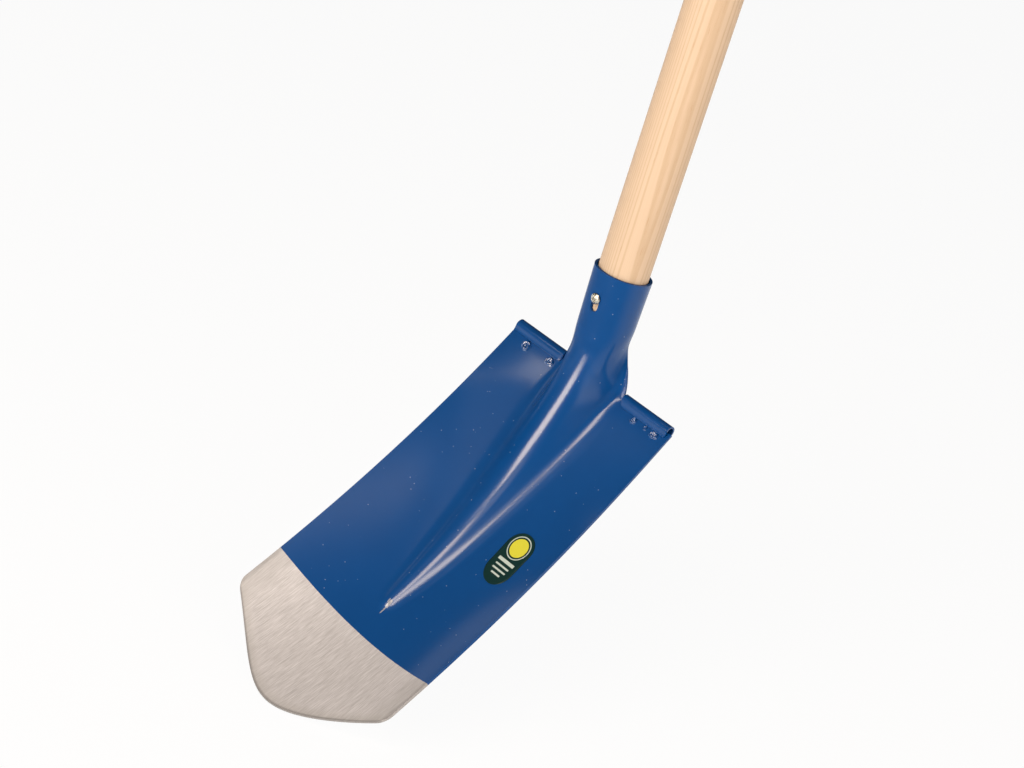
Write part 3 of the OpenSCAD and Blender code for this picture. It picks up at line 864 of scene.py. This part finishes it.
def screw_points():
    """Dome, rim and shank turned about an axis that points out of the socket's front."""
    ball = (HEAD_R ** 2 + DOME_H ** 2) / (2 * DOME_H)
    r = np.concatenate([[SCREW_POLE], steps(0, HEAD_R, 30)])
    dome = np.stack([r, RIM_H + DOME_H - ball + np.sqrt(ball ** 2 - r ** 2)], -1)
    rest = np.array([[HEAD_R, 0], [SHANK_R, 0], [SHANK_R, -SHANK_L], [SCREW_POLE, -SHANK_L]])
    form = turned_form(np.concatenate([dome, rest]), 120)
    p = form[..., 0] * np.cos(CROSS_TURN) + form[..., 1] * np.sin(CROSS_TURN)
    q = form[..., 1] * np.cos(CROSS_TURN) - form[..., 0] * np.sin(CROSS_TURN)
    form[..., 2] -= ARM_DEPTH * np.maximum(arm(p, q), arm(q, p)) * (form[..., 2] > RIM_H)
    seat = tube_r(SCREW_DEPTH - HEAD_R) + HEAD_GAP
    return np.stack([form[..., 0], -seat - form[..., 2], MOUTH_Z - SCREW_DEPTH + form[..., 1]], -1)


screw_form = screw_points()
print("screw head", round(2 * HEAD_R / MM, 1), "mm wide")

# %% Screw
ZINC_DARK, ZINC_LIGHT = (0.46, 0.44, 0.36, 1), (0.66, 0.64, 0.58, 1)


def zinc_finish():
    """Bright plating with a slightly mottled shine."""
    finish = Finish("zinc_plating", metallic=1.0)
    mottle = finish.noise(finish.place(), 900, 3)
    return finish.set(base_color=finish.mix(mottle, ZINC_DARK, ZINC_LIGHT), roughness=0.16 + 0.18 * mottle)


screw_faces = grid_faces(*screw_form.shape[:2], wrap=True)
add_piece("handle_screw", screw_form, screw_faces, "handle_screw", zinc_finish())

# %% [markdown]
# ## Label
# A foil label is stuck on the right wing. It is a thin stadium bent to the dished sheet, with a printed
# face of plain shapes: a dark green ground, a yellow disc in a pale ring and pale rules. The print reads
# the label's own map, so it follows the foil.

# %% Form of the label
LABEL_W, LABEL_L, LABEL_X, LABEL_V, LABEL_T = 27 * MM, 47 * MM, 52 * MM, 147 * MM, 0.2 * MM
LABEL_LIFT, LABEL_GLUE, LABEL_END = 0.08 * MM, 0.02 * MM, 0.02


def label_shape():
    """Front and back of a stadium on the sheet, as points and as the map of across and along."""
    y = -np.cos(np.linspace(LABEL_END, np.pi - LABEL_END, 49)) * LABEL_L / 2
    past = np.maximum(np.abs(y) - LABEL_L / 2 + LABEL_W / 2, 0)
    half = np.sqrt((LABEL_W / 2) ** 2 - past ** 2)
    x = LABEL_X + half[:, None] * np.linspace(-1, 1, 17)
    v = np.broadcast_to((LABEL_V + y)[:, None], x.shape)
    flat = np.stack([x - LABEL_X, v - LABEL_V], -1)
    faces = [on_blade(x, v, dished(x, v) + lift) for lift in (LABEL_LIFT + LABEL_T, LABEL_GLUE)]
    return np.stack(faces), np.stack([flat, flat])


label_form, label_map = label_shape()
print("label", round(LABEL_W / MM), "by", round(LABEL_L / MM), "mm")

# %% Printed foil
GREEN_DEEP, GREEN_LIGHT = (0.004, 0.022, 0.022, 1), (0.006, 0.03, 0.029, 1)
YELLOW, PALE_PRINT = (0.57, 0.56, 0.05, 1), (0.50, 0.60, 0.58, 1)
DISC_V, DISC_R, RING_R, RING_HALF_W, PRINT_BLUR = -10.8 * MM, 8 * MM, 9.8 * MM, 0.4 * MM, 0.1 * MM
RULES_MM = ((3.0, 1.3, 9.0), (7.5, 0.7, 7.5), (11.2, 0.7, 7.5), (14.9, 0.7, 5.0))


def inside(wave, centre, half):
    """1 where the wave is within half of the centre, with a narrow soft edge."""
    return abs(wave - centre).rise(half + PRINT_BLUR, half - PRINT_BLUR)


def foil_finish():
    """Printed foil: ground, disc, ring and rules drawn by distances on the label's map."""
    finish = Finish("printed_foil", ior=1.5, specular_ior_level=0.15)
    x, v, _ = finish.parts("UV")
    far = (x * x + (v - DISC_V) * (v - DISC_V)).root()
    disc = far.rise(DISC_R + PRINT_BLUR, DISC_R - PRINT_BLUR)
    pale = inside(far, RING_R, RING_HALF_W)
    for middle, half_h, half_l in RULES_MM:
        pale = pale + inside(v, middle * MM, half_h * MM) * inside(x, 0.0, half_l * MM)
    fibre = finish.noise(finish.place(), 1200, 2)
    tone = finish.mix(fibre, GREEN_DEEP, GREEN_LIGHT)
    tone = finish.mix(disc, tone, YELLOW)
    tone = finish.mix(pale.smaller(1.0) * 0.9, tone, PALE_PRINT)
    finish.bump(fibre * (0.01 * MM))
    return finish.set(base_color=tone, roughness=0.3 + 0.1 * fibre)


rows, columns = label_form.shape[1:3]
label_faces = sheet_faces(np.ones((rows - 1, columns - 1), bool), columns, rows * columns)
add_piece("label", label_form, label_faces, "label", foil_finish(), uv=label_map)

# %% [markdown]
# ## Light
# The studio has a tall soft box in front of the blade, with a dimmer end below it, and a narrow strip
# above. They draw the long shines on the ridge. Weak panels round about put a soft haze on the paint, one
# small lamp stands near the left wing, and a broad fill at the right lights the handle without showing in
# the paint. Each panel is an area lamp placed by its direction, with a size in degrees and a radiance,
# which is what a mirror would show of it.

# %% Light
CENTRE = Vector((0, -0.12, -0.2))
WARM, SOFT_WARM, PALE_WARM = (1.0, 0.85, 0.71), (1.0, 0.9, 0.8), (1.0, 0.92, 0.84)


def panel(name, azimuth, elevation, roll, width, height, radiance, tint, distance=2.0, mirrored=True):
    """Area lamp that fills width by height degrees of the sky, and shines with that radiance."""
    lamp = bpy.data.lights.new(name, "AREA")
    lamp.shape = "RECTANGLE"
    lamp.size, lamp.size_y = (2 * distance * np.tan(np.radians(angle) / 2) for angle in (width, height))
    lamp.energy = radiance * np.pi * lamp.size * lamp.size_y
    lamp.color = tint
    holder = bpy.data.objects.new(name, lamp)
    bpy.context.collection.objects.link(holder)
    turn = turned((azimuth, "Z"), (90 - elevation, "X"), (roll, "Z"))
    holder.matrix_world = Matrix.Translation(CENTRE) @ turn @ Matrix.Translation((0, 0, distance))
    holder.visible_camera = False
    holder.visible_glossy = mirrored
    print(f"{name}: {lamp.energy:.2f} W")


panel("key", -6.7, 16.9, 36, 19.6, 38, 13.0, WARM)
panel("key_end", 6.6, -1.3, 36, 19.6, 7, 4.5, WARM)
panel("top", 10.5, 49.2, -76.5, 7.7, 28, 12.5, WARM)
panel("wash", -91.7, 53.3, -14, 10, 6, 3.6, SOFT_WARM, 0.25)
panel("sheen", -37, 43, 0, 12, 12, 0.28, SOFT_WARM)
panel("low", 4, -20, 0, 16, 30, 0.9, PALE_WARM, 0.55)
panel("left", -90, 15.5, 0, 20, 9, 0.5, PALE_WARM)
panel("haze", -18, 38.5, 0, 10, 6, 3.0, WARM)
panel("haze_right", 9, 36, 0, 12, 10, 1.2, WARM)
panel("fill", 95, 10, 0, 70, 60, 3.2, WARM, mirrored=False)

# %% [markdown]
# ## Floor and surroundings
# The spade stands on a plain pale floor. More light would make the floor white but would bleach the
# object too. So the floor's material asks what kind of ray has met it: the camera and shiny surfaces see
# it almost white, with a small share left for the shadow, and all other light meets a pale grey.

# %% Floor and surroundings
FLOOR_HALF, FLOOR_GLOW, SURROUND = 5, 0.94, (0.07, 0.07, 0.07, 1)
floor_z = cad_box[0][2]
corners = [(FLOOR_HALF * x, FLOOR_HALF * y, floor_z) for x, y in ((-1, -1), (1, -1), (1, 1), (-1, 1))]
floor_mesh = bpy.data.meshes.new("floor")
floor_mesh.from_pydata(corners, [], [(0, 1, 2, 3)])
floor = bpy.data.objects.new("floor", floor_mesh)
bpy.context.collection.objects.link(floor)
pale = Finish("pale_floor", base_color=(0.9, 0.9, 0.9, 1), roughness=0.9, specular_ior_level=0.0)
camera_ray, glossy_ray, clear_ray = [pale.add("ShaderNodeLightPath", {}, {}, f"Is {kind} Ray")
                                     for kind in ("Camera", "Glossy", "Transmission")]
seen = camera_ray.larger(glossy_ray).larger(clear_ray)
glow = pale.add("ShaderNodeEmission", {}, {"Color": (1, 1, 1, 1), "Strength": 1.0})
plain = Wave(pale, pale.shader.outputs[0])
mixed = pale.add("ShaderNodeMixShader", {}, {0: FLOOR_GLOW * seen, 1: plain, 2: glow})
pale.feed(pale.tree.nodes["Material Output"], "Surface", mixed)
floor_mesh.materials.append(pale.material)
world = bpy.data.worlds.new("studio")
bpy.context.scene.world = world
world.use_nodes = True
world.node_tree.nodes["Background"].inputs["Color"].default_value = SURROUND
print("floor at", round(floor_z, 4))
